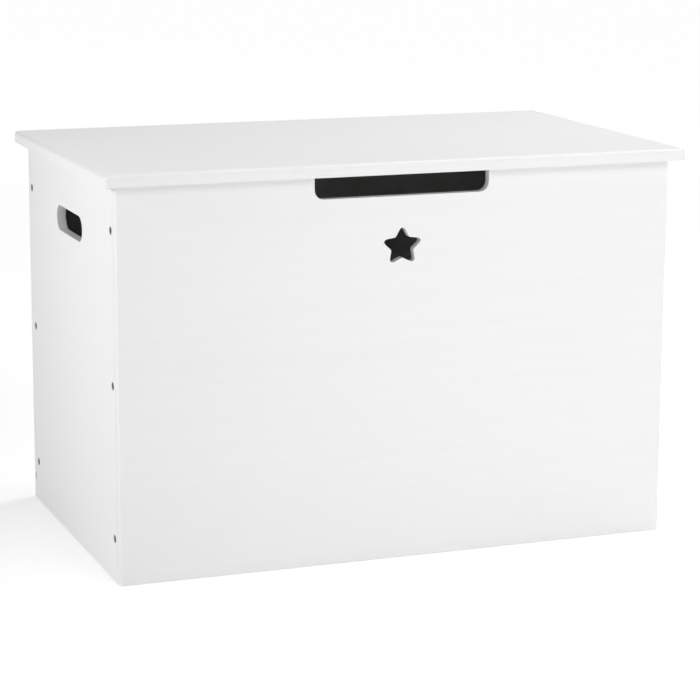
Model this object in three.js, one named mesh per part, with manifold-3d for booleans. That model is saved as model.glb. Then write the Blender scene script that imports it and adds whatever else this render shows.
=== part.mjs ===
// A wooden toy box with a hinged lid, in millimetres: X to the right, Y to the back, Z up.
// The origin is on the floor under the middle of the closed box, its hinge knuckles included.
import * as THREE from "three";
import { mergeVertices } from "three/addons/utils/BufferGeometryUtils.js";
import Module from "manifold-3d";

const wasm = await Module();
wasm.setup();

// The case: 9 mm painted boards, with the front and the back lapped over the ends of the sides.
const CASE_WIDTH = 573;
const CASE_DEPTH = 345;
const CASE_TOP = 383;
const BOARD = 9;
const GLUE_GAP = 0.2;

// A cutter runs this far past each face that it leaves.
const OVERRUN = 5;

// The floor of the case is a thinner board, held in a groove that runs round all four walls.
const FLOOR_BOARD = 6;
const FLOOR_UNDERSIDE = 21;
const GROOVE_DEPTH = 4.5;
const GROOVE_PLAY = 0.3;

// The lid: a 12 mm board, rounded over on its top edges and square underneath.
const LID_WIDTH = 600;
const LID_THICKNESS = 12;
const LID_FRONT_OVERHANG = 12.8;
const LID_REAR_OVERHANG = 3.3;
const LID_GAP = 1.5;
const LID_CORNER_RADIUS = 4;
const LID_EDGE_RADIUS = 4;

// The openings: a finger slot in the front's top edge, a star under it, a hand hole in each side.
const SLOT = { width: 180.5, depth: 21, cornerRadius: 9.5 };
const STAR = { height: 312.4, tip: 22, waist: 11, tipRadius: 2.5, waistRadius: 1.2 };
const STAR_STRETCH = { wide: 1.045, high: 0.968 };
const HAND_HOLE = { length: 100, height: 25.5, centre: 324 };

// Corner battens behind the front and the back, and the rail that the hinges are screwed to.
const BATTEN = 16;
const BATTEN_TOP = 380;
const RAIL = { depth: 18, height: 30 };

// Each side is screwed to its battens. The setback is from the case's nearest corner edge.
const SCREW_RECESS = 0.5;
const SIDE_SCREWS = [
  { name: "front_bottom", height: 42.5, setback: 17 },
  { name: "front_middle", height: 192, setback: 17 },
  { name: "front_top", height: 340.5, setback: 17 },
  { name: "back_bottom", height: 43, setback: 20.5 },
  { name: "back_middle", height: 191, setback: 20 },
  { name: "back_top", height: 338, setback: 15 },
];

// Wood screws with countersunk heads, and the clearance of the hole that each sits in.
const SIDE_SCREW = { headRadius: 4, rim: 0.5, shankRadius: 2, length: 22, point: 4 };
const HINGE_SCREW = { headRadius: 2.8, rim: 0.2, shankRadius: 1.4, length: 13.5, point: 3 };
const SHORT_SCREW = { headRadius: 2.8, rim: 0.2, shankRadius: 1.4, length: 9.5, point: 3 };
const PLATE_SCREW = { headRadius: 2.8, rim: 0.2, shankRadius: 1.4, length: 7.5, point: 3 };
const SCREW_CLEARANCE = 0.3;
const HOLE_MOUTH = 2;
const SCREW_SIDES = 12;

// Butt hinges. The axis is as far behind the back as it is below the underside of the lid. Seat
// is the gap between a leaf and its wood.
const HINGE = { length: 50, spacing: 380, leaf: 1.2, reach: 22, axisOffset: 3.3, seat: 0.1 };
const KNUCKLE = { radius: 3, middleLength: 17, endGap: 0.3, clearance: 0.3 };
const HINGE_PIN = { radius: 1.6, headRadius: 2.3, head: 0.8, play: 0.2 };
const HINGE_SCREW_AT = { reach: 14, spacing: 32 };
const PIN_SIDES = 16;

// Lid stays: two arms that fold as a parallelogram with the hinge axis, the pivot on the side
// and the pivot on the lid. Pivots are measured forward of and above the hinge axis.
const SIDE_PIVOT = { forward: 42, up: -62 };
const LID_PIVOT = { forward: 60, up: -10 };
const ARM = { thickness: 1.5, radius: 7 };
const RIVET = { radius: 2.5, headRadius: 4.2, head: 1, play: 0.3, headGap: 0.2 };
const STAY_LAYERS = { plate: 0.85, lowerArm: 2.75, upperArm: 4.75, flange: 6.75 };
const STAY_PLATE = { width: 20, height: 56, below: 8, cornerRadius: 4, screwSpacing: 40 };
const STAY_FOOT = { length: 34, width: 19, thickness: 1.3, screwSpacing: 22, screwInset: 10.5 };
const STAY_FLANGE = { radius: 9, shoulder: 4 };

// A round end is two quarter arcs, whose radius is this much less than half the end's width.
const ARC_TRIM = 0.05;
const HOLE_SIDES = 16;

// Soft stops under the front corners of the lid.
const BUMPER = { radius: 4, thickness: 1.2, setback: 21, seat: 0.1, sides: 20 };

const OVERALL_DEPTH = LID_FRONT_OVERHANG + CASE_DEPTH + HINGE.axisOffset + KNUCKLE.radius;
const FRONT_Y = LID_FRONT_OVERHANG - OVERALL_DEPTH / 2;
const BACK_Y = FRONT_Y + CASE_DEPTH;
const MIDDLE_Y = (FRONT_Y + BACK_Y) / 2;
const SIDE_X = CASE_WIDTH / 2;
const INNER_X = SIDE_X - BOARD;
const LID_UNDERSIDE = CASE_TOP + LID_GAP;
const AXIS_Y = BACK_Y + HINGE.axisOffset;
const AXIS_Z = LID_UNDERSIDE - HINGE.axisOffset;
const LEAF_BACK = HINGE.axisOffset - HINGE.seat;
const LEAF_FACE = LEAF_BACK - HINGE.leaf;
const FLOOR_TOP = FLOOR_UNDERSIDE + FLOOR_BOARD;
const QUARTER = Math.PI / 2;

const FINISHES = {
  paint: { color: 0xf2f2ef, roughness: 0.42, metalness: 0 },
  pine: { color: 0xd8bc8c, roughness: 0.7, metalness: 0 },
  blackScrew: { color: 0x37363a, roughness: 0.45, metalness: 0.6 },
  zinc: { color: 0xb4b7ba, roughness: 0.35, metalness: 0.9 },
  rubber: { color: 0xd9d8d2, roughness: 0.8, metalness: 0 },
};

// ---------------------------------------------------------------- solids and cuts

// A closed geometry as a solid that can be joined and cut.
function solidOf(geometry) {
  const bare = geometry.clone();
  bare.deleteAttribute("normal");
  bare.deleteAttribute("uv");
  const merged = mergeVertices(bare);
  const vertProperties = merged.attributes.position.array;
  const triVerts = new Uint32Array(merged.index.array);
  return new wasm.Manifold(new wasm.Mesh({ numProp: 3, vertProperties, triVerts }));
}

function geometryOf(solid) {
  const mesh = solid.getMesh();
  const geometry = new THREE.BufferGeometry();
  geometry.setAttribute("position", new THREE.BufferAttribute(mesh.vertProperties, 3));
  geometry.setIndex(new THREE.BufferAttribute(mesh.triVerts, 1));
  const faceted = geometry.toNonIndexed();
  faceted.computeVertexNormals();
  return faceted;
}

// A geometry turned, then moved to its place.
function placed(geometry, [x, y, z], [turnX, turnY, turnZ] = [0, 0, 0]) {
  const turn = new THREE.Matrix4().makeRotationFromEuler(new THREE.Euler(turnX, turnY, turnZ));
  return geometry.clone().applyMatrix4(turn).translate(x, y, z);
}

// Joins geometries into one, then takes the cutting geometries away from it.
function carved(parts, cutters) {
  let solid = solidOf(parts[0]);
  for (const part of parts.slice(1)) solid = solid.add(solidOf(part));
  for (const cutter of cutters) solid = solid.subtract(solidOf(cutter));
  return geometryOf(solid);
}

function piece(name, geometry, finish, position = [0, 0, 0], turn = [0, 0, 0]) {
  const mesh = new THREE.Mesh(geometry, new THREE.MeshStandardMaterial(FINISHES[finish]));
  mesh.name = name;
  mesh.position.set(...position);
  mesh.rotation.set(...turn);
  return mesh;
}

// A wooden piece is modelled round its own centre. Its cutters stand where they cut in the box.
function woodPiece(name, blank, centre, cutters, finish = "paint") {
  const moved = cutters.map((cutter) => cutter.clone().translate(...centre.map((c) => -c)));
  return piece(name, carved([blank], moved), finish, centre);
}

// ---------------------------------------------------------------- outlines

// Adds a closed run of straight edges to a path. Each corner is [x, y, fillet radius].
function addRoundedOutline(path, corners) {
  corners.forEach(([x, y, radius = 0], i) => {
    if (radius === 0) {
      if (i === 0) path.moveTo(x, y);
      else path.lineTo(x, y);
      return;
    }
    const [beforeX, beforeY] = corners.at(i - 1);
    const [afterX, afterY] = corners[(i + 1) % corners.length];
    const back = new THREE.Vector2(beforeX - x, beforeY - y).normalize();
    const ahead = new THREE.Vector2(afterX - x, afterY - y).normalize();
    const half = back.angleTo(ahead) / 2;
    const centre = new THREE.Vector2().addVectors(back, ahead).setLength(radius / Math.sin(half));
    centre.x += x;
    centre.y += y;
    const reach = radius / Math.tan(half);
    const start = Math.atan2(y + back.y * reach - centre.y, x + back.x * reach - centre.x);
    const end = Math.atan2(y + ahead.y * reach - centre.y, x + ahead.x * reach - centre.x);
    path.absarc(centre.x, centre.y, radius, start, end, back.cross(ahead) > 0);
  });
  path.closePath();
  return path;
}

function rectangleCorners(width, height, radius = 0) {
  const x = width / 2;
  const y = height / 2;
  return [
    [-x, -y, radius],
    [x, -y, radius],
    [x, y, radius],
    [-x, y, radius],
  ];
}

// Five tips and five waists in turn, from the top tip round against the clock. The star is a
// little wider and lower than a regular one.
function starCorners({ tip, waist, tipRadius, waistRadius }) {
  const corners = [];
  for (let i = 0; i < 10; i++) {
    const isTip = i % 2 === 0;
    const reach = isTip ? tip : waist;
    const angle = QUARTER + (i * Math.PI) / 5;
    const radius = isTip ? tipRadius : waistRadius;
    const x = reach * Math.cos(angle) * STAR_STRETCH.wide;
    const y = reach * Math.sin(angle) * STAR_STRETCH.high;
    corners.push([x, y, radius]);
  }
  return corners;
}

// A flat plate, centred on its thickness along Z.
function plate(corners, thickness, holes = []) {
  const shape = addRoundedOutline(new THREE.Shape(), corners);
  shape.holes = holes;
  const options = { depth: thickness, bevelEnabled: false, curveSegments: 3 };
  return new THREE.ExtrudeGeometry(shape, options).translate(0, 0, -thickness / 2);
}

function roundHole(x, y, radius) {
  const hole = new THREE.Path();
  for (let i = 0; i < HOLE_SIDES; i++) {
    const angle = (i * 2 * Math.PI) / HOLE_SIDES;
    const point = [x + radius * Math.cos(angle), y + radius * Math.sin(angle)];
    if (i === 0) hole.moveTo(...point);
    else hole.lineTo(...point);
  }
  hole.closePath();
  return hole;
}

// Turns a plate drawn on X and Y so that it stands up facing the front.
function standFacingFront(geometry) {
  return geometry.rotateX(QUARTER);
}

// Turns a plate drawn on X and Y so that X runs to the back, Y up and its thickness along X.
function standFacingSide(geometry) {
  const toBack = new THREE.Vector3(0, 1, 0);
  const up = new THREE.Vector3(0, 0, 1);
  const right = new THREE.Vector3(1, 0, 0);
  return geometry.applyMatrix4(new THREE.Matrix4().makeBasis(toBack, up, right));
}

// ---------------------------------------------------------------- screws

// A screw's profile from its point to its head. Its head's face is at the origin and the shank
// runs down the Y axis. Clearance makes the hole for it, and mouth carries the hole outwards.
function screwGeometry({ headRadius, rim, shankRadius, length, point }, clearance = 0, mouth = 0) {
  const head = headRadius + clearance;
  const shank = shankRadius + clearance;
  const neck = rim + (headRadius - shankRadius);
  const profile = [
    [0, -length - clearance],
    [shank, -(length - point)],
    [shank, -neck],
    [head, -rim],
    [head, mouth],
    [0, mouth],
  ];
  const points = profile.map(([r, y]) => new THREE.Vector2(r, y));
  return new THREE.LatheGeometry(points, SCREW_SIDES);
}

// Where each screw goes: its size, the centre of its head's face and the turn of its shank.
function sideScrewPlaces(side) {
  const label = side < 0 ? "left" : "right";
  return SIDE_SCREWS.map(({ name, height, setback }) => {
    const y = name.startsWith("front") ? FRONT_Y + setback : BACK_Y - setback;
    const position = [side * (SIDE_X - SCREW_RECESS), y, height];
    const turn = [0, 0, -side * QUARTER];
    return { name: `${label}_screw_${name}`, size: SIDE_SCREW, position, turn };
  });
}

function hingePlaces() {
  return [
    { label: "left", x: -HINGE.spacing / 2 },
    { label: "right", x: HINGE.spacing / 2 },
  ];
}

function caseHingeScrewPlaces() {
  const y = AXIS_Y - LEAF_FACE;
  const z = AXIS_Z - HINGE_SCREW_AT.reach;
  return hingePlaces().flatMap(({ label, x }) =>
    [-1, 1].map((end) => ({
      name: `${label}_hinge_case_screw_${end < 0 ? "left" : "right"}`,
      size: HINGE_SCREW,
      position: [x + (end * HINGE_SCREW_AT.spacing) / 2, y, z],
      turn: [0, 0, 0],
    })),
  );
}

function lidHingeScrewPlaces() {
  const y = AXIS_Y - HINGE_SCREW_AT.reach;
  const z = AXIS_Z + LEAF_FACE;
  return hingePlaces().flatMap(({ label, x }) =>
    [-1, 1].map((end) => ({
      name: `${label}_hinge_lid_screw_${end < 0 ? "left" : "right"}`,
      size: SHORT_SCREW,
      position: [x + (end * HINGE_SCREW_AT.spacing) / 2, y, z],
      turn: [-QUARTER, 0, 0],
    })),
  );
}

function stayPlateScrewPlaces(side) {
  const x = side * (INNER_X - STAY_LAYERS.plate - ARM.thickness / 2);
  const y = AXIS_Y - SIDE_PIVOT.forward;
  const middle = AXIS_Z + SIDE_PIVOT.up - STAY_PLATE.below;
  return [-1, 1].map((end) => ({
    name: `${side < 0 ? "left" : "right"}_stay_plate_screw_${end < 0 ? "lower" : "upper"}`,
    size: PLATE_SCREW,
    position: [x, y, middle + (end * STAY_PLATE.screwSpacing) / 2],
    turn: [0, 0, side * QUARTER],
  }));
}

function stayBracketScrewPlaces(side) {
  const x = side * (INNER_X - STAY_LAYERS.flange - STAY_FOOT.screwInset);
  const y = AXIS_Y - LID_PIVOT.forward;
  const z = LID_UNDERSIDE - GLUE_GAP - STAY_FOOT.thickness;
  return [-1, 1].map((end) => ({
    name: `${side < 0 ? "left" : "right"}_stay_bracket_screw_${end < 0 ? "front" : "back"}`,
    size: SHORT_SCREW,
    position: [x, y + (end * STAY_FOOT.screwSpacing) / 2, z],
    turn: [-QUARTER, 0, 0],
  }));
}

function screws(places, finish) {
  return places.map(({ name, size, position, turn }) =>
    piece(name, screwGeometry(size), finish, position, turn),
  );
}

function screwHoles(places) {
  return places.map(({ size, position, turn }) =>
    placed(screwGeometry(size, SCREW_CLEARANCE, HOLE_MOUTH), position, turn),
  );
}

// ---------------------------------------------------------------- the case

// A bar along X or Y that cuts the groove for the floor board.
function grooveCutter(length, along, x, y) {
  const height = FLOOR_BOARD + 2 * GROOVE_PLAY;
  const across = 2 * GROOVE_DEPTH;
  const size = along === "x" ? [length, across, height] : [across, length, height];
  return placed(new THREE.BoxGeometry(...size), [x, y, FLOOR_UNDERSIDE + FLOOR_BOARD / 2]);
}

function frontPanel() {
  const x = CASE_WIDTH / 2;
  const z = CASE_TOP / 2;
  const slotX = SLOT.width / 2;
  const slotZ = z - SLOT.depth;
  const corners = [
    [-x, -z],
    [x, -z],
    [x, z],
    [slotX, z],
    [slotX, slotZ, SLOT.cornerRadius],
    [-slotX, slotZ, SLOT.cornerRadius],
    [-slotX, z],
    [-x, z],
  ];
  const rise = STAR.height - z;
  const starOutline = starCorners(STAR).map(([sx, sy, radius]) => [sx, sy + rise, radius]);
  const star = addRoundedOutline(new THREE.Path(), starOutline);
  const blank = standFacingFront(plate(corners, BOARD, [star]));
  // This groove stops short of the board's ends, so that it doesn't show from the sides.
  const grooveLength = 2 * (INNER_X + GROOVE_DEPTH);
  const groove = grooveCutter(grooveLength, "x", 0, FRONT_Y + BOARD);
  return woodPiece("front_panel", blank, [0, FRONT_Y + BOARD / 2, z], [groove]);
}

function backPanel() {
  const blank = new THREE.BoxGeometry(CASE_WIDTH, BOARD, CASE_TOP);
  // The back's groove is cut right through, and its two ends show at the case's rear corners.
  const groove = grooveCutter(CASE_WIDTH + 2 * OVERRUN, "x", 0, BACK_Y - BOARD);
  const cutters = [groove, ...screwHoles(caseHingeScrewPlaces())];
  return woodPiece("back_panel", blank, [0, BACK_Y - BOARD / 2, CASE_TOP / 2], cutters);
}

function sidePanel(side) {
  const name = side < 0 ? "left_side_panel" : "right_side_panel";
  const length = CASE_DEPTH - 2 * BOARD - 2 * GLUE_GAP;
  const z = CASE_TOP / 2;
  const holeRadius = HAND_HOLE.height / 2 - ARC_TRIM;
  const holeCorners = rectangleCorners(HAND_HOLE.length, HAND_HOLE.height, holeRadius);
  const hole = addRoundedOutline(
    new THREE.Path(),
    holeCorners.map(([x, y, radius]) => [x, y + HAND_HOLE.centre - z, radius]),
  );
  const blank = standFacingSide(plate(rectangleCorners(length, CASE_TOP), BOARD, [hole]));
  const cutters = [
    grooveCutter(CASE_DEPTH, "y", side * INNER_X, MIDDLE_Y),
    ...screwHoles(sideScrewPlaces(side)),
    ...screwHoles(stayPlateScrewPlaces(side)),
  ];
  return woodPiece(name, blank, [side * (SIDE_X - BOARD / 2), MIDDLE_Y, z], cutters);
}

function floorBoard() {
  const width = 2 * (INNER_X + GROOVE_DEPTH - GROOVE_PLAY);
  const depth = CASE_DEPTH - 2 * (BOARD - GROOVE_DEPTH + GROOVE_PLAY);
  const blank = new THREE.BoxGeometry(width, depth, FLOOR_BOARD);
  return woodPiece("floor_board", blank, [0, MIDDLE_Y, FLOOR_UNDERSIDE + FLOOR_BOARD / 2], []);
}

function cornerBatten(side, end) {
  const bottom = FLOOR_TOP + GROOVE_PLAY;
  const height = BATTEN_TOP - bottom;
  const blank = new THREE.BoxGeometry(BATTEN, BATTEN, height);
  const inset = BOARD + GLUE_GAP + BATTEN / 2;
  const y = end < 0 ? FRONT_Y + inset : BACK_Y - inset;
  const row = end < 0 ? "front" : "back";
  const name = `${row}_${side < 0 ? "left" : "right"}_batten`;
  const holes = screwHoles(sideScrewPlaces(side).filter((screw) => screw.name.includes(`_${row}_`)));
  return woodPiece(name, blank, [side * (SIDE_X - inset), y, bottom + height / 2], holes, "pine");
}

function hingeRail() {
  const length = 2 * (INNER_X - BATTEN - 3 * GLUE_GAP);
  const blank = new THREE.BoxGeometry(length, RAIL.depth, RAIL.height);
  const centre = [0, BACK_Y - BOARD - GLUE_GAP - RAIL.depth / 2, CASE_TOP - RAIL.height / 2];
  return woodPiece("hinge_rail", blank, centre, screwHoles(caseHingeScrewPlaces()), "pine");
}

// ---------------------------------------------------------------- the lid

function lidPanel() {
  const depth = LID_FRONT_OVERHANG + CASE_DEPTH + LID_REAR_OVERHANG;
  const edge = LID_EDGE_RADIUS;
  const outline = rectangleCorners(LID_WIDTH - 2 * edge, depth - 2 * edge, LID_CORNER_RADIUS / 2);
  const shape = addRoundedOutline(new THREE.Shape(), outline);
  const options = {
    depth: LID_THICKNESS,
    bevelThickness: edge,
    bevelSize: edge,
    bevelSegments: 4,
    curveSegments: 2,
  };
  // The rounded-over slab is taller than the board, and its lower half is cut off square.
  const slab = new THREE.ExtrudeGeometry(shape, options);
  slab.translate(0, 0, -edge - LID_THICKNESS / 2);
  const offcut = placed(
    new THREE.BoxGeometry(LID_WIDTH + 2 * OVERRUN, depth + 2 * OVERRUN, 4 * edge),
    [0, 0, -LID_THICKNESS / 2 - 2 * edge],
  );
  const y = FRONT_Y - LID_FRONT_OVERHANG + depth / 2;
  const centre = [0, y, LID_UNDERSIDE + LID_THICKNESS / 2];
  const holes = [
    ...screwHoles(lidHingeScrewPlaces()),
    ...screwHoles(stayBracketScrewPlaces(-1)),
    ...screwHoles(stayBracketScrewPlaces(1)),
  ];
  return woodPiece("lid_panel", carved([slab], [offcut]), centre, holes);
}

function lidBumper(side) {
  const { radius, thickness, setback, seat, sides } = BUMPER;
  const blank = new THREE.CylinderGeometry(radius, radius, thickness, sides);
  const name = `${side < 0 ? "left" : "right"}_lid_bumper`;
  const x = side * (SIDE_X - BOARD / 2);
  const z = LID_UNDERSIDE - seat - thickness / 2;
  return piece(name, blank, "rubber", [x, FRONT_Y + setback, z], [QUARTER, 0, 0]);
}

// ---------------------------------------------------------------- hinges

// A cylinder along X on the hinge axis, from one X to another.
function axisCylinder(radius, fromX, toX) {
  const cylinder = new THREE.CylinderGeometry(radius, radius, toX - fromX, PIN_SIDES);
  return placed(cylinder, [(fromX + toX) / 2, 0, 0], [0, 0, QUARTER]);
}

// Both leaves are drawn round the hinge axis. The case's leaf hangs down behind the back and
// has the two outer knuckles.
function caseLeaf(label, x) {
  const half = HINGE.length / 2;
  const inner = KNUCKLE.middleLength / 2 + KNUCKLE.endGap;
  const y = HINGE.leaf / 2 - LEAF_BACK;
  const sheet = new THREE.BoxGeometry(HINGE.length, HINGE.leaf, HINGE.reach);
  const flat = placed(sheet, [0, y, -HINGE.reach / 2]);
  const knuckles = [
    axisCylinder(KNUCKLE.radius, -half, -inner),
    axisCylinder(KNUCKLE.radius, inner, half),
  ];
  const cutters = [
    axisCylinder(KNUCKLE.radius + KNUCKLE.clearance, -inner, inner),
    axisCylinder(HINGE_PIN.radius + HINGE_PIN.play, -half - OVERRUN, half + OVERRUN),
    ...screwHolesFrom(caseHingeScrewPlaces(), label, x),
  ];
  const leaf = carved([flat, ...knuckles], cutters);
  return piece(`${label}_hinge_case_leaf`, leaf, "zinc", [x, AXIS_Y, AXIS_Z]);
}

// The lid's leaf lies under the lid and has the middle knuckle.
function lidLeaf(label, x) {
  const half = HINGE.length / 2;
  const inner = KNUCKLE.middleLength / 2;
  const z = LEAF_BACK - HINGE.leaf / 2;
  const sheet = new THREE.BoxGeometry(HINGE.length, HINGE.reach, HINGE.leaf);
  const flat = placed(sheet, [0, -HINGE.reach / 2, z]);
  const clear = KNUCKLE.radius + KNUCKLE.clearance;
  const cutters = [
    axisCylinder(clear, -half - OVERRUN, -inner),
    axisCylinder(clear, inner, half + OVERRUN),
    axisCylinder(HINGE_PIN.radius + HINGE_PIN.play, -half - OVERRUN, half + OVERRUN),
    ...screwHolesFrom(lidHingeScrewPlaces(), label, x),
  ];
  const knuckle = axisCylinder(KNUCKLE.radius, -inner, inner);
  const leaf = carved([flat, knuckle], cutters);
  return piece(`${label}_hinge_lid_leaf`, leaf, "zinc", [x, AXIS_Y, AXIS_Z]);
}

// The holes for one hinge's screws, measured from that hinge's axis.
function screwHolesFrom(places, label, x) {
  const own = places.filter((place) => place.name.startsWith(label));
  return screwHoles(own).map((hole) => hole.translate(-x, -AXIS_Y, -AXIS_Z));
}

function hingePin(label, x) {
  const half = HINGE.length / 2 + HINGE_PIN.play;
  const { radius, headRadius, head } = HINGE_PIN;
  const profile = [
    [0, -half - head],
    [headRadius, -half - head / 2],
    [headRadius, -half],
    [radius, -half],
    [radius, half],
    [headRadius, half],
    [headRadius, half + head / 2],
    [0, half + head],
  ];
  const points = profile.map(([r, y]) => new THREE.Vector2(r, y));
  const geometry = new THREE.LatheGeometry(points, PIN_SIDES);
  return piece(`${label}_hinge_pin`, geometry, "zinc", [x, AXIS_Y, AXIS_Z], [0, 0, QUARTER]);
}

// ---------------------------------------------------------------- lid stays

// The stays are drawn seen from the box's right: X forward and Y up from the hinge axis, and Z
// towards the left, which is inwards on the right-hand side and outwards on the left-hand one.
function stayFrame(side) {
  const frame = new THREE.Group();
  const forward = new THREE.Vector3(0, -1, 0);
  const up = new THREE.Vector3(0, 0, 1);
  const left = new THREE.Vector3(-1, 0, 0);
  frame.quaternion.setFromRotationMatrix(new THREE.Matrix4().makeBasis(forward, up, left));
  frame.position.set(side * INNER_X, AXIS_Y, AXIS_Z);
  return frame;
}

// A round bar along Z from one depth to another, both measured inwards from the side's face.
function rivetBar(side, radius, fromDepth, toDepth) {
  const bar = new THREE.CylinderGeometry(radius, radius, toDepth - fromDepth, PIN_SIDES);
  return placed(bar, [0, 0, (side * (fromDepth + toDepth)) / 2], [QUARTER, 0, 0]);
}

function stayPlate(side) {
  const { width, height, below, cornerRadius, screwSpacing } = STAY_PLATE;
  const corners = rectangleCorners(width, height, cornerRadius).map(([x, y, r]) => [x, y - below, r]);
  const depth = STAY_LAYERS.plate;
  const base = plate(corners, ARM.thickness).translate(0, 0, side * depth);
  const face = depth + ARM.thickness / 2;
  const headAt = STAY_LAYERS.lowerArm + ARM.thickness / 2 + RIVET.headGap;
  const stub = rivetBar(side, RIVET.radius, depth, headAt + RIVET.head);
  const head = rivetBar(side, RIVET.headRadius, headAt, headAt + RIVET.head);
  const holes = [-1, 1].map((end) =>
    placed(
      screwGeometry(PLATE_SCREW, SCREW_CLEARANCE, HOLE_MOUTH),
      [0, -below + (end * screwSpacing) / 2, side * face],
      [side * QUARTER, 0, 0],
    ),
  );
  const name = `${side < 0 ? "left" : "right"}_stay_plate`;
  const place = [SIDE_PIVOT.forward, SIDE_PIVOT.up, 0];
  return piece(name, carved([base, stub, head], holes), "zinc", place);
}

// A flat arm with round ends, from its own pivot to a point ahead of and above it.
function stayArm(name, side, depth, ahead, above, position) {
  const length = Math.hypot(ahead, above);
  const arc = ARM.radius - ARC_TRIM;
  const corners = [
    [-ARM.radius, -ARM.radius, arc],
    [length + ARM.radius, -ARM.radius, arc],
    [length + ARM.radius, ARM.radius, arc],
    [-ARM.radius, ARM.radius, arc],
  ];
  const holeRadius = RIVET.radius + RIVET.play;
  const holes = [roundHole(0, 0, holeRadius), roundHole(length, 0, holeRadius)];
  const arm = plate(corners, ARM.thickness, holes);
  const place = [position.forward, position.up, side * depth];
  return piece(name, arm, "zinc", place, [0, 0, Math.atan2(above, ahead)]);
}

function lowerArm(side) {
  const name = `${side < 0 ? "left" : "right"}_stay_lower_arm`;
  return stayArm(name, side, STAY_LAYERS.lowerArm, LID_PIVOT.forward, LID_PIVOT.up, SIDE_PIVOT);
}

function upperArm(side) {
  const name = `${side < 0 ? "left" : "right"}_stay_upper_arm`;
  return stayArm(name, side, STAY_LAYERS.upperArm, SIDE_PIVOT.forward, SIDE_PIVOT.up, LID_PIVOT);
}

// The rivet at the elbow, with a head outside the lower arm and one inside the upper arm.
function elbowRivet(side) {
  const outer = STAY_LAYERS.lowerArm - ARM.thickness / 2 - RIVET.headGap;
  const inner = STAY_LAYERS.upperArm + ARM.thickness / 2 + RIVET.headGap;
  const shank = rivetBar(side, RIVET.radius, outer - RIVET.head, inner + RIVET.head);
  const outerHead = rivetBar(side, RIVET.headRadius, outer - RIVET.head, outer);
  const innerHead = rivetBar(side, RIVET.headRadius, inner, inner + RIVET.head);
  const name = `${side < 0 ? "left" : "right"}_stay_elbow_rivet`;
  const place = [SIDE_PIVOT.forward + LID_PIVOT.forward, SIDE_PIVOT.up + LID_PIVOT.up, 0];
  return piece(name, carved([shank, outerHead, innerHead], []), "zinc", place);
}

// The bracket is an angle: a foot under the lid, and a flange that hangs beside the arms and
// carries the upper arm's pivot.
function stayBracket(side) {
  const top = HINGE.axisOffset - GLUE_GAP - LID_PIVOT.up;
  const depth = STAY_LAYERS.flange;
  const half = STAY_FOOT.length / 2;
  const { radius, shoulder } = STAY_FLANGE;
  const corners = [
    [-radius, -radius, radius - ARC_TRIM],
    [radius, -radius, radius - ARC_TRIM],
    [half, top - shoulder],
    [half, top],
    [-half, top],
    [-half, top - shoulder],
  ];
  const flange = plate(corners, ARM.thickness).translate(0, 0, side * depth);
  const outerEdge = depth - ARM.thickness / 2;
  const { length, width, thickness, screwSpacing, screwInset } = STAY_FOOT;
  const foot = placed(new THREE.BoxGeometry(length, thickness, width), [
    0,
    top - thickness / 2,
    side * (outerEdge + width / 2),
  ]);
  const headAt = STAY_LAYERS.upperArm - ARM.thickness / 2 - RIVET.headGap;
  const stub = rivetBar(side, RIVET.radius, headAt - RIVET.head, depth);
  const head = rivetBar(side, RIVET.headRadius, headAt - RIVET.head, headAt);
  const holes = [-1, 1].map((end) =>
    placed(
      screwGeometry(SHORT_SCREW, SCREW_CLEARANCE, HOLE_MOUTH),
      [(end * screwSpacing) / 2, top - thickness, side * (depth + screwInset)],
      [Math.PI, 0, 0],
    ),
  );
  const name = `${side < 0 ? "left" : "right"}_stay_bracket`;
  const bracket = carved([flange, foot, stub, head], holes);
  return piece(name, bracket, "zinc", [LID_PIVOT.forward, LID_PIVOT.up, 0]);
}

// ---------------------------------------------------------------- the whole box

const toyBox = new THREE.Group();
toyBox.add(frontPanel(), backPanel(), floorBoard(), hingeRail(), lidPanel());
for (const side of [-1, 1]) {
  toyBox.add(sidePanel(side), cornerBatten(side, -1), cornerBatten(side, 1), lidBumper(side));
  toyBox.add(...screws(sideScrewPlaces(side), "blackScrew"));
  toyBox.add(...screws(stayPlateScrewPlaces(side), "zinc"));
  toyBox.add(...screws(stayBracketScrewPlaces(side), "zinc"));
  const stay = stayFrame(side);
  stay.add(stayPlate(side), lowerArm(side), elbowRivet(side), upperArm(side), stayBracket(side));
  toyBox.add(stay);
}
for (const { label, x } of hingePlaces()) {
  toyBox.add(caseLeaf(label, x), lidLeaf(label, x), hingePin(label, x));
}
toyBox.add(...screws(caseHingeScrewPlaces(), "zinc"), ...screws(lidHingeScrewPlaces(), "zinc"));

export default toyBox;
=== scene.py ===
# %% [markdown]
# # A white painted toy box
#
# The box is a joiner's piece: five thin painted boards and a raised floor make the case, and one
# wider board is its lid. Screws hold the sides to battens in the corners, two butt hinges carry
# the lid, and two folding stays let it down slowly. The sizes and the places of all of these come
# from a packed mechanical model. This notebook rebuilds each piece with finer shapes and finishes,
# in metres, where that model has it.

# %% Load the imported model
import math

import bmesh
import bpy
from mathutils import Matrix, Vector


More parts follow.
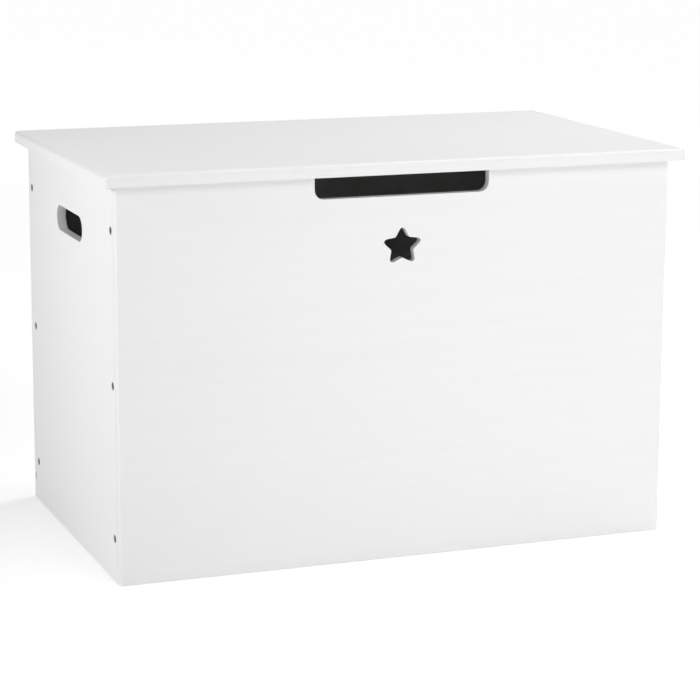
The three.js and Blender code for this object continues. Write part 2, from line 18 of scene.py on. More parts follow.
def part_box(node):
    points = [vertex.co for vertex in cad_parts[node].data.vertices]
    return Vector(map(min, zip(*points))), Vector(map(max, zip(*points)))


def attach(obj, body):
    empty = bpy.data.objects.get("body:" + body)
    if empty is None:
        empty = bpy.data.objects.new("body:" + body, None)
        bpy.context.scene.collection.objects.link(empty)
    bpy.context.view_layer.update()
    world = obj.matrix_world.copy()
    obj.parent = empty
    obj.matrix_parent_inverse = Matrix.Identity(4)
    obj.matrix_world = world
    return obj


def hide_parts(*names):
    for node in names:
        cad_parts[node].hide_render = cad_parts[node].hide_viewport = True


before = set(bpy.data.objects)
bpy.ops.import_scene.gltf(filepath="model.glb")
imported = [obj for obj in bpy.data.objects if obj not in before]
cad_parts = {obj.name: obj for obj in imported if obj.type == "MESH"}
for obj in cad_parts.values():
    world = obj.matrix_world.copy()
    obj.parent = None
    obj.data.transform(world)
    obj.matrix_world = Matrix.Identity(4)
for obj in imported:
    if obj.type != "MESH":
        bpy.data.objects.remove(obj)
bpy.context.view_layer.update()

MM = 0.001
# Closer than TINY counts as the same place, and points closer than WELD become one.
TINY = 0.01 * MM
WELD = 0.1 * TINY
print(len(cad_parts), "packed nodes in a box of", end=" ")

# %% [markdown]
# ## The camera
#
# The box is seen from its front left and a little above, by a long lens some way off, so that its
# edges stay nearly parallel. A camera could be aimed by eye or by a constraint. Here it is placed
# by its azimuth, its elevation and its distance from a point inside the box, because those three
# numbers say at once where the onlooker stands.

# %% Place the camera
AIM = Vector((0.010, 0.0, 0.2122))
AZIMUTH = math.radians(-20.71)
ELEVATION = math.radians(11.25)
TILT = math.radians(0.25)
DISTANCE = 2.546
LENS_MM = 125.85
SENSOR_MM = 36
RISE = -0.05


def place_camera():
    """A camera on a sphere round AIM, turned to look at it."""
    back = Vector((
        math.sin(AZIMUTH) * math.cos(ELEVATION),
        -math.cos(AZIMUTH) * math.cos(ELEVATION),
        math.sin(ELEVATION),
    ))
    bpy.ops.object.camera_add(location=AIM + back * DISTANCE)
    camera = bpy.context.object
    camera.name = "camera"
    turn = back.to_track_quat("Z", "Y").to_matrix() @ Matrix.Rotation(TILT, 3, "Z")
    camera.rotation_euler = turn.to_euler()
    camera.data.sensor_width = SENSOR_MM
    camera.data.lens = LENS_MM
    camera.data.shift_y = RISE
    camera.data.clip_start = 0.1
    camera.data.clip_end = 200
    bpy.context.scene.camera = camera
    return camera


camera = place_camera()
print("camera at", [round(c, 3) for c in camera.location], "with a", LENS_MM, "mm lens")

# %% [markdown]
# ## A few habits of hand modelling
#
# An operator acts on whatever is selected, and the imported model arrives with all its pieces
# selected. So each step starts by letting go of everything and taking up one object. In edit mode
# the edges and faces to work on are picked by where they are or which way they face, as one would
# click on them.

# %% Take up one object
def deselect_all():
    """Leaves edit mode and lets go of every object."""
    if bpy.context.mode != "OBJECT":
        bpy.ops.object.mode_set(mode="OBJECT")
    bpy.ops.object.select_all(action="DESELECT")


def take_up(obj):
    deselect_all()
    obj.select_set(True)
    bpy.context.view_layer.objects.active = obj


def open_for_editing(obj, kind):
    """Puts one object in edit mode, picking verts, edges or faces, with none of them picked yet."""
    take_up(obj)
    bpy.ops.object.mode_set(mode="EDIT")
    bpy.ops.mesh.select_mode(type=kind)
    bpy.ops.mesh.select_all(action="DESELECT")


# %% Pick edges and faces by their place
def pick_edges(obj, wanted):
    """Picks each edge whose two end points pass the test."""
    mesh = bmesh.from_edit_mesh(obj.data)
    for edge in mesh.edges:
        if wanted(edge.verts[0].co, edge.verts[1].co):
            edge.select_set(True)
    bmesh.update_edit_mesh(obj.data)


def pick_faces(obj, wanted):
    """Picks each face whose centre and normal pass the test."""
    mesh = bmesh.from_edit_mesh(obj.data)
    for face in mesh.faces:
        if wanted(face.calc_center_median(), face.normal):
            face.select_set(True)
    bmesh.update_edit_mesh(obj.data)


# %% [markdown]
# ## The joiner's tools
#
# Boards start as sawn blocks. A router rounds chosen edges, which here is the bevel operator. A
# saw or a drill takes a shape out, which here is a Boolean modifier that is applied at once. Sand
# paper takes the sharpness off every edge that is left, and a Bevel modifier that only sees sharp
# angles does just that. Last, smooth shading with weighted normals keeps the broad faces flat
# while the rounded edges catch the light.

# %% Blanks and cuts
def sawn_block(name, low, high):
    """A rectangular blank between two opposite corners."""
    deselect_all()
    low = Vector(low)
    high = Vector(high)
    bpy.ops.mesh.primitive_cube_add(size=1, location=(low + high) / 2, scale=high - low)
    block = bpy.context.object
    block.name = name
    bpy.ops.object.transform_apply(location=True, rotation=True, scale=True)
    return block


def apply_modifier(obj, kind, **settings):
    """Adds a modifier, sets it and applies it."""
    take_up(obj)
    modifier = obj.modifiers.new(kind.lower(), kind)
    for name, value in settings.items():
        setattr(modifier, name, value)
    bpy.ops.object.modifier_apply(modifier=modifier.name)


def cut_out(obj, cutters):
    """Takes the shape of each cutter out of a piece, and throws the cutter away."""
    for cutter in cutters:
        apply_modifier(obj, "BOOLEAN", operation="DIFFERENCE", solver="EXACT", object=cutter)
        bpy.data.objects.remove(cutter)


# %% Rounded edges and smooth shading
SHARP_ANGLE = math.radians(40)
SMOOTH_ANGLE = math.radians(35)


def round_edges(obj, wanted, radius, segments):
    """Rounds the picked edges to a radius."""
    open_for_editing(obj, "EDGE")
    pick_edges(obj, wanted)
    bpy.ops.mesh.bevel(offset=radius, segments=segments, profile=0.5, affect="EDGES")
    bpy.ops.object.mode_set(mode="OBJECT")


def sand_edges(obj, radius, segments=3):
    """Takes the sharpness off every edge where the surface turns sharply."""
    apply_modifier(
        obj, "BEVEL", width=radius, segments=segments, limit_method="ANGLE",
        angle_limit=SHARP_ANGLE, miter_outer="MITER_SHARP",
    )


def shade(obj):
    """Smooth shading that keeps broad faces flat."""
    take_up(obj)
    bpy.ops.object.shade_smooth_by_angle(angle=SMOOTH_ANGLE)
    apply_modifier(obj, "WEIGHTED_NORMAL", keep_sharp=True, weight=80)


def hand_over(piece, node, body):
    """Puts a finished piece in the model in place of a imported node."""
    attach(piece, body)
    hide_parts(node)
    size = [round(side / MM, 1) for side in piece.dimensions]
    print(f"{piece.name}: {len(piece.data.polygons)} faces, {size} mm, for {node}")


# %% [markdown]
# ## Shader maths that reads like maths
#
# A finish is a network of nodes. Adding and multiplying with Math nodes by hand hides the idea,
# so a value that varies over a surface is wrapped in a small class, and its sums and products
# build the Math nodes. Every other node comes from one method that takes the node's type, its
# settings and what goes into its sockets.

# %% Values and finishes
# A Mix node has a pair of inputs and a result for each kind of value. These are the colour ones.
MIX_FIRST = 6
MIX_SECOND = 7
MIX_RESULT = 2


class Value:
    """A number that varies over a surface."""

    def __init__(self, finish, socket):
        self.finish = finish
        self.socket = socket

    def maths(self, operation, first, second):
        return self.finish.node("ShaderNodeMath", {"operation": operation}, {0: first, 1: second})

    def __add__(self, other):
        return self.maths("ADD", self, other)

    __radd__ = __add__

    def __mul__(self, other):
        return self.maths("MULTIPLY", self, other)

    __rmul__ = __mul__

    def __sub__(self, other):
        return self.maths("SUBTRACT", self, other)

    def __rsub__(self, other):
        return self.maths("SUBTRACT", other, self)

    def above(self, limit):
        """1 where the value is over a limit, and 0 elsewhere."""
        return self.maths("GREATER_THAN", self, limit)


class Finish:
    """A material under construction, or the world, which takes the same nodes."""

    def __init__(self, name, kind="materials"):
        self.block = getattr(bpy.data, kind).new(name)
        self.block.use_nodes = True
        self.tree = self.block.node_tree
        self.tree.nodes.clear()

    def node(self, kind, settings, inputs, output=0):
        """Adds a node, sets it, feeds its sockets and gives one of its outputs."""
        made = self.tree.nodes.new(kind)
        for name, value in settings.items():
            if name == "stops":
                self.set_stops(made.color_ramp, value)
            else:
                setattr(made, name, value)
        for name, value in inputs.items():
            if isinstance(value, Value):
                self.tree.links.new(value.socket, made.inputs[name])
            else:
                made.inputs[name].default_value = value
        return None if output is None else Value(self, made.outputs[output])

    @staticmethod
    def set_stops(ramp, stops):
        """Gives a colour ramp its stops, each a place and a grey or a colour."""
        while len(ramp.elements) < len(stops):
            ramp.elements.new(0.5)
        for element, (place, colour) in zip(ramp.elements, stops):
            element.position = place
            element.color = (*colour, 1)

    def place(self, stretch=(1, 1, 1)):
        """The place on the piece, with each axis stretched."""
        here = self.node("ShaderNodeTexCoord", {}, {}, "Object")
        return self.node("ShaderNodeMapping", {}, {"Vector": here, "Scale": stretch})

    def noise(self, place, scale, detail=2.0, roughness=0.5):
        """Soft random blotches from 0 to 1, this many to the metre."""
        sockets = {"Vector": place, "Scale": scale, "Detail": detail, "Roughness": roughness}
        return self.node("ShaderNodeTexNoise", {}, sockets, "Fac")

    def blend(self, share, first, second):
        """One colour at 0 and the other at 1."""
        settings = {"data_type": "RGBA"}
        sockets = {"Factor": share, MIX_FIRST: first, MIX_SECOND: second}
        return self.node("ShaderNodeMix", settings, sockets, MIX_RESULT)

    def bump(self, height, distance, strength):
        """Makes a height look raised, at most by a distance in metres."""
        sockets = {"Height": height, "Distance": distance, "Strength": strength}
        return self.node("ShaderNodeBump", {}, sockets)

    def surface(self, **sockets):
        """Ends the finish with a Principled shader. A socket's name is given with underscores."""
        named = {name.replace("_", " "): value for name, value in sockets.items()}
        shader = self.node("ShaderNodeBsdfPrincipled", {}, named)
        self.node("ShaderNodeOutputMaterial", {}, {"Surface": shader}, None)
        return self.block


def grey(level):
    return (level, level, level, 1.0)


# %% [markdown]
# ## White satin paint
#
# The boards are fibreboard under two coats of white satin paint, put on with a foam roller. Three
# things keep it from looking like plastic: long faint streaks in the direction of the roller, a
# very fine stipple, and a few specks of dust. An image could carry these, but noise in the piece's
# own coordinates has no seams and no resolution. The streaks are the same noise stretched until
# it is dozens of times longer than it is wide. They run level on the walls and from side to side
# on the lid.

# %% Paint on the broad faces
PAINT = 0.72
UNEVEN = 0.03
STREAK_STRETCH = {"wall": (2.0, 2.0, 160.0), "lid": (2.0, 130.0, 2.0)}
SPECK_LIMIT = 0.79


def rolled_paint(kind):
    """White satin paint with roller streaks, for the walls or for the lid."""
    finish = Finish(f"rolled_paint_{kind}")
    streaks = finish.noise(finish.place(STREAK_STRETCH[kind]), 1.0, 3.0, 0.6)
    cloud = finish.noise(finish.place(), 6.0, 2.0)
    specks = finish.noise(finish.place(), 900.0, 1.0).above(SPECK_LIMIT)
    stipple = finish.noise(finish.place(), 650.0, 2.0)
    tone = 0.5 * streaks + 0.3 * cloud + 0.2 - 0.25 * specks
    height = stipple + 0.6 * streaks - 1.2 * specks
    return finish.surface(
        Base_Color=finish.blend(tone, grey(PAINT - UNEVEN), grey(PAINT + UNEVEN)),
        Roughness=0.38 + 0.1 * cloud + 0.06 * streaks,
        Specular_IOR_Level=0.45,
        Normal=finish.bump(height, 0.03 * MM, 0.5),
    )


# %% [markdown]
# Where a board was cut, its core of pressed fibres drinks the paint. The painter gives such an
# edge one coat more, so it ends nearly as white as the faces, and a fine fuzz of fibres still
# shows in it. So the edges of the boards, the slot, the star and the hand holes get a finish of
# their own.

# %% Paint on the cut edges
EDGE_UNEVEN = 0.04


def edge_paint():
    """White paint on the open fibres of a cut edge."""
    finish = Finish("edge_paint")
    fibres = finish.noise(finish.place(), 1500.0, 3.0, 0.7)
    blotches = finish.noise(finish.place(), 90.0, 2.0)
    tone = 0.6 * fibres + 0.4 * blotches
    return finish.surface(
        Base_Color=finish.blend(tone, grey(PAINT - EDGE_UNEVEN), grey(PAINT + EDGE_UNEVEN)),
        Roughness=0.4 + 0.15 * fibres,
        Specular_IOR_Level=0.5,
        Normal=finish.bump(fibres, 0.06 * MM, 0.6),
    )


# %% [markdown]
# The faces that look into the box get a white a little darker than the outside, which is painted
# shade for the dark inside of the closed box. It varies in soft clouds, and it is quite dull.

# %% Paint inside the box
# A little darker than PAINT: painted shade, so that the inside of the box looks dark.
INNER_SHADED_GREY = 0.68
INNER_UNEVEN = 0.04


def painted_shade_inside():
    """A darker white on the faces that look into the box: painted shade for its inside."""
    finish = Finish("painted_shade_inside")
    cloud = finish.noise(finish.place(), 14.0, 3.0)
    fibres = finish.noise(finish.place(), 700.0, 2.0)
    tone = 0.7 * cloud + 0.3 * fibres
    # The blend runs round a darker white that is painted shade, in random clouds.
    shade_dark_end = grey(INNER_SHADED_GREY - INNER_UNEVEN)
    shade_light_end = grey(INNER_SHADED_GREY + INNER_UNEVEN)
    return finish.surface(
        Base_Color=finish.blend(tone, shade_dark_end, shade_light_end),
        Roughness=0.6 + 0.15 * fibres,
        Specular_IOR_Level=0.35,
        Normal=finish.bump(fibres, 0.04 * MM, 0.5),
    )


# %% [markdown]
# ## Pine, metal and rubber
#
# The battens and the hinge rail are planed pine that nobody painted. Its growth rings show as long
# bands, which a noise stretched along the stick gives, with a finer one for the pores. The side
# screws are black phosphated steel, which is dull and a little patchy. The hinges, the stays and
# their screws are zinc plated, brighter, with a faint crystal pattern and rubbed spots. The
# bumpers are pale rubber.

# %% Unpainted pine
PINE_LIGHT = (0.66, 0.46, 0.25)
PINE_DARK = (0.42, 0.24, 0.10)
# How many rings and pores there are to the metre, across the grain and along it.
RINGS_ACROSS = 110.0
RINGS_ALONG = 2.5
PORES_ACROSS = 900.0
PORES_ALONG = 18.0


def grain(across, along, axis):
    """A stretch that draws a pattern out along one axis."""
    return [along if index == axis else across for index in range(3)]


def planed_pine(name, axis):
    """Pine with its grain along one axis, 0 for X or 2 for Z."""
    finish = Finish(name)
    ring_place = finish.place(grain(RINGS_ACROSS, RINGS_ALONG, axis))
    rings = finish.noise(ring_place, 1.0, 3.0, 0.55)
    pore_place = finish.place(grain(PORES_ACROSS, PORES_ALONG, axis))
    pores = finish.noise(pore_place, 1.0, 2.0)
    tone = 0.75 * rings + 0.25 * pores
    ramp = {"stops": [(0.3, PINE_LIGHT), (0.62, PINE_DARK)]}
    return finish.surface(
        Base_Color=finish.node("ShaderNodeValToRGB", ramp, {"Fac": tone}),
        Roughness=0.62 + 0.12 * pores,
        Normal=finish.bump(tone, 0.08 * MM, 0.6),
    )


# %% Black and bright steel, and rubber
ZINC_DULL = (0.50, 0.52, 0.55, 1)
ZINC_BRIGHT = (0.72, 0.73, 0.74, 1)
CRYSTALS = 420.0


def black_steel():
    """Phosphated screw steel."""
    finish = Finish("black_steel")
    patches = finish.noise(finish.place(), 900.0, 3.0)
    return finish.surface(
        Base_Color=finish.blend(patches, grey(0.035), grey(0.09)),
        Metallic=0.6,
        Roughness=0.42 + 0.2 * patches,
        Normal=finish.bump(patches, 0.02 * MM, 0.5),
    )


def zinc_plate():
    """Bright zinc plating, with a faint crystal pattern."""
    finish = Finish("zinc_plate")
    cells = {"Vector": finish.place(), "Scale": CRYSTALS}
    crystals = finish.node("ShaderNodeTexVoronoi", {}, cells, "Color")
    spangle = finish.node("ShaderNodeSeparateColor", {}, {"Color": crystals})
    rubbed = finish.noise(finish.place((1.0, 1.0, 8.0)), 160.0, 3.0)
    tone = 0.35 * spangle + 0.65 * rubbed
    return finish.surface(
        Base_Color=finish.blend(tone, ZINC_DULL, ZINC_BRIGHT),
        Metallic=1.0,
        Roughness=0.24 + 0.2 * rubbed + 0.06 * spangle,
        Normal=finish.bump(rubbed, 0.02 * MM, 0.4),
    )


def pale_rubber():
    finish = Finish("pale_rubber")
    bloom = finish.noise(finish.place(), 700.0, 2.0)
    return finish.surface(
        Base_Color=finish.blend(bloom, grey(0.55), grey(0.66)),
        Roughness=0.6 + 0.15 * bloom,
        Normal=finish.bump(bloom, 0.03 * MM, 0.4),
    )


# %% Mix all the finishes
WALL_PAINT = rolled_paint("wall")
LID_PAINT = rolled_paint("lid")
EDGE_PAINT = edge_paint()
# The darker white for the inside of the box is painted shade.
SHADED_INNER_PAINT = painted_shade_inside()
PINE_UPRIGHT = planed_pine("pine_upright", axis=2)
PINE_LEVEL = planed_pine("pine_level", axis=0)
BLACK_STEEL = black_steel()
ZINC = zinc_plate()
RUBBER = pale_rubber()
print("finishes:", [material.name for material in bpy.data.materials])

# %% Coat a piece, or the faces of a board
FACING = 0.7


def coat(piece, finish):
    piece.data.materials.clear()
    piece.data.materials.append(finish)


def coat_board(piece, outer_finish, outward):
    """One finish on a board's outer face, a darker white as painted shade inside, and edge paint
    between.
    """
    coat(piece, outer_finish)
    # The inner faces get the darker white that paints shade inside the box.
    piece.data.materials.append(SHADED_INNER_PAINT)
    piece.data.materials.append(EDGE_PAINT)
    outward = Vector(outward)
    for face in piece.data.polygons:
        facing = face.normal.dot(outward)
        if facing > FACING:
            face.material_index = 0
        elif facing < -FACING:
            face.material_index = 1
        else:
            face.material_index = 2


def finish_board(board, node, body, paint, outward, sanded, segments=3):
    """What every board gets last: sanding, smooth shading, its paint and its place."""
    sand_edges(board, sanded, segments)
    shade(board)
    coat_board(board, paint, outward)
    hand_over(board, node, body)


# %% [markdown]
# ## The front board
#
# The front is one board the full width of the case. Its two outer upright edges are rounded a
# little, because they are the corners of the box. A wide slot with round lower corners is sawn
# down from the top edge for the fingers that lift the lid, and a fat star is cut out under it.
# The star starts as a circle of ten points. Every second point is pulled in to make a waist, and
# the points are then rounded by a vertex bevel, which is quicker and truer than drawing arcs. At
# the end it is made a little wider and lower, which gives the star its friendly, stout look.

# %% Shape the slot and the star
# The setbacks say how far from its point each tip and waist of the star is rounded. A cutter
# overruns the board on both sides.
SLOT_WIDTH = 180.5 * MM
SLOT_DEPTH = 21 * MM
SLOT_CORNER = 9.5 * MM
STAR_HEIGHT = 312.4 * MM
STAR_TIP = 22.4 * MM
STAR_WAIST = 11.3 * MM
STAR_TIP_SETBACK = 6.8 * MM
STAR_WAIST_SETBACK = 1.2 * MM
STAR_WIDEN = 1.045
STAR_LOWER = 0.968
TIP_TO_TIP = math.radians(72)
OVERRUN = 5 * MM


def slot_cutter(low, high):
    """A block as wide as the slot, with its two lower edges rounded."""
    bottom = high.z - SLOT_DEPTH
    cutter = sawn_block(
        "slot_cutter",
        (-SLOT_WIDTH / 2, low.y - OVERRUN, bottom),
        (SLOT_WIDTH / 2, high.y + OVERRUN, high.z + OVERRUN),
    )
    is_low = lambda a, b: max(a.z, b.z) < bottom + TINY and abs(a.x - b.x) < TINY
    round_edges(cutter, is_low, SLOT_CORNER, 10)
    return cutter


def star_cutter(low, high):
    """A ten-point ring with every second point pulled in, rounded and drawn out to a bar."""
    deselect_all()
    centre = Vector((0, low.y - OVERRUN, STAR_HEIGHT))
    bpy.ops.mesh.primitive_circle_add(
        vertices=10, radius=STAR_TIP, fill_type="NGON", location=centre,
        rotation=(math.pi / 2, 0, 0),
    )
    star = bpy.context.object
    bpy.ops.object.transform_apply(location=True, rotation=True, scale=True)
    open_for_editing(star, "VERT")
    mesh = bmesh.from_edit_mesh(star.data)
    for vertex in mesh.verts:
        turn = math.atan2(vertex.co.x, vertex.co.z - STAR_HEIGHT) / TIP_TO_TIP
        is_waist = abs(turn - round(turn)) > 0.25
        vertex.select_set(is_waist)
    bmesh.update_edit_mesh(star.data)
    shrink = STAR_WAIST / STAR_TIP
    bpy.ops.transform.resize(value=(shrink, shrink, shrink), center_override=centre)
    bpy.ops.mesh.bevel(offset=STAR_WAIST_SETBACK, segments=3, affect="VERTICES")
    bpy.ops.mesh.select_all(action="DESELECT")
    mesh = bmesh.from_edit_mesh(star.data)
    for vertex in mesh.verts:
        is_tip = (vertex.co - centre).length > 0.95 * STAR_TIP
        vertex.select_set(is_tip)
    bmesh.update_edit_mesh(star.data)
    bpy.ops.mesh.bevel(offset=STAR_TIP_SETBACK, segments=8, affect="VERTICES")
    bpy.ops.mesh.select_all(action="SELECT")
    bpy.ops.transform.resize(value=(STAR_WIDEN, 1, STAR_LOWER), center_override=centre)
    reach = high.y - low.y + 2 * OVERRUN
    bpy.ops.mesh.extrude_region_move(TRANSFORM_OT_translate={"value": (0, reach, 0)})
    bpy.ops.mesh.select_all(action="SELECT")
    bpy.ops.mesh.normals_make_consistent(inside=False)
    bpy.ops.object.mode_set(mode="OBJECT")
    return star


# %% Make the front board
FLOOR_LOW, FLOOR_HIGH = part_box("floor_board")
GROOVE_PLAY = 0.3 * MM
GROOVE_DEPTH = 4.5 * MM
CORNER_RADIUS = 2.2 * MM
SANDED = 0.6 * MM


def groove_cutter(low, high):
    """A bar that cuts the floor board's groove, from one X and Y corner to the other."""
    return sawn_block(
        "groove_cutter",
        (low[0], low[1], FLOOR_LOW.z - GROOVE_PLAY),
        (high[0], high[1], FLOOR_HIGH.z + GROOVE_PLAY),
    )


def front_board():
    low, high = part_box("front_panel")
    board = sawn_block("front_board", low, high)
    is_corner = lambda a, b: (
        abs(a.x - b.x) < TINY and abs(a.z - b.z) > TINY and max(a.y, b.y) < low.y + TINY
    )
    round_edges(board, is_corner, CORNER_RADIUS, 5)
    groove_end = FLOOR_HIGH.x + GROOVE_PLAY
    groove = groove_cutter((-groove_end, high.y - GROOVE_DEPTH), (groove_end, high.y + OVERRUN))
    cut_out(board, [slot_cutter(low, high), star_cutter(low, high), groove])
    finish_board(board, "front_panel", "case", WALL_PAINT, (0, -1, 0), SANDED)


front_board()

# %% [markdown]
# ## The sides and the back
#
# Each side is let in between the front and the back, and has a long hand hole with round ends. The
# hole's cutter is a block whose four edges are rounded until they meet, which makes a true obround.
# Six screws hold a side to its battens, and each head has drawn itself a little way into the
# board, so a countersink is turned for it. A turned shape is a profile of points, spun about an
# axis: the same tool will make the screws, the rivets and the hinge pins.

# %% Turn a profile about an axis
def turned(name, profile, steps=32):
    """Spins (radius, height) points about the Z axis, from the bottom of the piece to its top."""
    deselect_all()
    bpy.ops.mesh.primitive_plane_add(size=MM)
    piece = bpy.context.object
    piece.name = name
    open_for_editing(piece, "VERT")
    bpy.ops.mesh.select_all(action="SELECT")
    bpy.ops.mesh.merge(type="CENTER")
    bpy.ops.transform.translate(value=(profile[0][0], 0, profile[0][1]))
    for (radius, height), (next_radius, next_height) in zip(profile, profile[1:]):
        step = (next_radius - radius, 0, next_height - height)
        bpy.ops.mesh.extrude_region_move(TRANSFORM_OT_translate={"value": step})
    bpy.ops.mesh.select_all(action="SELECT")
    bpy.ops.mesh.spin(steps=steps, angle=2 * math.pi, center=(0, 0, 0), axis=(0, 0, 1))
    bpy.ops.mesh.select_all(action="SELECT")
    bpy.ops.mesh.remove_doubles(threshold=WELD)
    bpy.ops.mesh.normals_make_consistent(inside=False)
    bpy.ops.object.mode_set(mode="OBJECT")
    return piece


def stand(piece, place, turn=(0, 0, 0)):
    """Turns and moves a piece, and writes its place into its mesh."""
    take_up(piece)
    piece.rotation_euler = turn
    piece.location = place
    bpy.ops.object.transform_apply(location=True, rotation=True, scale=True)
    return piece


# %% Places of the side screws
QUARTER = math.pi / 2
SIDES = {"left": -1, "right": 1}
ROWS = ("front", "back")
LEVELS = ("bottom", "middle", "top")
SIDE_SCREW_NAMES = [f"{row}_{level}" for row in ROWS for level in LEVELS]
HEAD_RADIUS = 4 * MM
SHANK_RADIUS = 2 * MM
SMALL_HEAD = 2.8 * MM
SMALL_SHANK = 1.4 * MM
HOLE_EASE = 0.15 * MM
HOLE_REACH = 15 * MM
RIM_SHARE = 0.06


def head_place(node, axis, sign):
    """The middle of a screw head's outer face, for a screw that lies along an axis."""
    low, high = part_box(node)
    place = (low + high) / 2
    place[axis] = high[axis] if sign > 0 else low[axis]
    return place


def screw_seat(place, turn, head_radius, shank_radius):
    """A cutter for a screw's hole and the seat of its head, with its mouth at the origin."""
    seat = head_radius + HOLE_EASE
    hole = shank_radius + HOLE_EASE
    rim = RIM_SHARE * head_radius
    profile = [
        (0, -HOLE_REACH),
        (hole, -HOLE_REACH),
        (hole, shank_radius - head_radius - rim),
        (seat, -rim),
        (seat, OVERRUN),
        (0, OVERRUN),
    ]
    return stand(turned("screw_seat", profile, 24), place, turn)


# %% Make a side board
HAND_HOLE_LENGTH = 100 * MM
HAND_HOLE_HEIGHT = 25.5 * MM
HAND_HOLE_CENTRE = 324 * MM
SIDE_SANDED = 0.4 * MM


def hand_hole_cutter(low, high):
    """A block with its four long edges rounded until they meet."""
    half = Vector((0, HAND_HOLE_LENGTH / 2, HAND_HOLE_HEIGHT / 2))
    centre = Vector((0, (low.y + high.y) / 2, HAND_HOLE_CENTRE))
    start = centre - half
    end = centre + half
    start.x = low.x - OVERRUN
    end.x = high.x + OVERRUN
    cutter = sawn_block("hand_hole_cutter", start, end)
    round_edges(cutter, lambda a, b: abs(a.x - b.x) > TINY, HAND_HOLE_HEIGHT / 2 - TINY, 12)
    return cutter


def side_board(label):
    side = SIDES[label]
    low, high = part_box(f"{label}_side_panel")
    board = sawn_block(f"{label}_side_board", low, high)
    inner = high.x if side < 0 else low.x
    groove_x = sorted((inner - side * OVERRUN, inner + side * GROOVE_DEPTH))
    cutters = [
        hand_hole_cutter(low, high),
        groove_cutter((groove_x[0], low.y - OVERRUN), (groove_x[1], high.y + OVERRUN)),
    ]
    for name in SIDE_SCREW_NAMES:
        place = head_place(f"{label}_screw_{name}", 0, side)
        cutters.append(screw_seat(place, (0, side * QUARTER, 0), HEAD_RADIUS, SHANK_RADIUS))
    cut_out(board, cutters)
    finish_board(board, f"{label}_side_panel", "case", WALL_PAINT, (side, 0, 0), SIDE_SANDED)


for label in SIDES:
    side_board(label)


# %% Make the back board
def back_board():
    """Like the front, with no openings, and with its groove cut right through its ends."""
    low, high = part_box("back_panel")
    board = sawn_block("back_board", low, high)
    is_corner = lambda a, b: (
        abs(a.x - b.x) < TINY and abs(a.z - b.z) > TINY and min(a.y, b.y) > high.y - TINY
    )
    round_edges(board, is_corner, CORNER_RADIUS, 5)
    groove = groove_cutter(
        (low.x - OVERRUN, low.y - OVERRUN), (high.x + OVERRUN, low.y + GROOVE_DEPTH)
    )
    cut_out(board, [groove])
    finish_board(board, "back_panel", "case", WALL_PAINT, (0, 1, 0), SANDED)


back_board()

# %% [markdown]
# ## The floor, the lid, the battens and the rail
#
# The lid is the thickest board. Its four corners are rounded in plan, and a router with a
# quarter-round cutter has run along its top edges only, so its underside stays crisp. That is two
# bevels, one after the other: the upright corner edges first, and then the whole run of edges
# round the top, corner arcs included. The rest are plain sticks and a plain board, whose edges
# are only sanded.

# %% Make the lid
LID_CORNER = 4 * MM
LID_EDGE = 4 * MM
LID_SANDED = 0.4 * MM


def lid_board():
    low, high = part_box("lid_panel")
    board = sawn_block("lid_board", low, high)
    round_edges(board, lambda a, b: abs(a.z - b.z) > TINY, LID_CORNER, 6)
    is_rim = lambda a, b: min(a.z, b.z) > high.z - TINY
    round_edges(board, is_rim, LID_EDGE, 8)
    finish_board(board, "lid_panel", "lid", LID_PAINT, (0, 0, 1), LID_SANDED, 2)


lid_board()


# %% Make the floor, the battens and the rail
FLOOR_SANDED = 0.3 * MM
STICK_SANDED = 1.0 * MM


def floor_board():
    board = sawn_block("case_floor_board", FLOOR_LOW, FLOOR_HIGH)
    finish_board(board, "floor_board", "case", LID_PAINT, (0, 0, -1), FLOOR_SANDED)


def pine_stick(node, finish):
    """A planed stick with its edges taken off."""
    low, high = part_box(node)
    stick = sawn_block(f"{node}_stick", low, high)
    sand_edges(stick, STICK_SANDED)
    shade(stick)
    coat(stick, finish)
    hand_over(stick, node, "case")


floor_board()
for label in SIDES:
    for row in ROWS:
        pine_stick(f"{row}_{label}_batten", PINE_UPRIGHT)
pine_stick("hinge_rail", PINE_LEVEL)

# %% [markdown]
# ## Wood screws
#
# A wood screw has a cone-shaped head that sinks flush, a smooth neck, a thread and a point. The
# body is turned from a profile. The thread is a small triangle carried round and down by a Screw
# modifier, which is exact and needs no drawing. The cross recess is two tapered bars cut out of
# the head. One screw of each size is made, and the others are copies of it with their own meshes,
# so that each can be placed by writing its place into its mesh.

# %% Cut a cross and wind a thread
CROSS_WIDTH = 0.9 * MM
CROSS_TAPER = (0.35, 0.6, 1)
THREAD_DEPTH = 0.5 * MM
THREAD_PITCH = 1.8 * MM


def cross_bar(length, depth, turn):
    """A bar that narrows towards its bottom, to cut one arm of a cross recess."""
    low = (-length / 2, -CROSS_WIDTH / 2, -depth)
    high = (length / 2, CROSS_WIDTH / 2, MM)
    bar = sawn_block("cross_bar", low, high)
    open_for_editing(bar, "FACE")
    pick_faces(bar, lambda centre, normal: normal.z < -0.9)
    bpy.ops.transform.resize(value=CROSS_TAPER, center_override=(0, 0, -depth))
    return stand(bar, (0, 0, 0), (0, 0, turn))


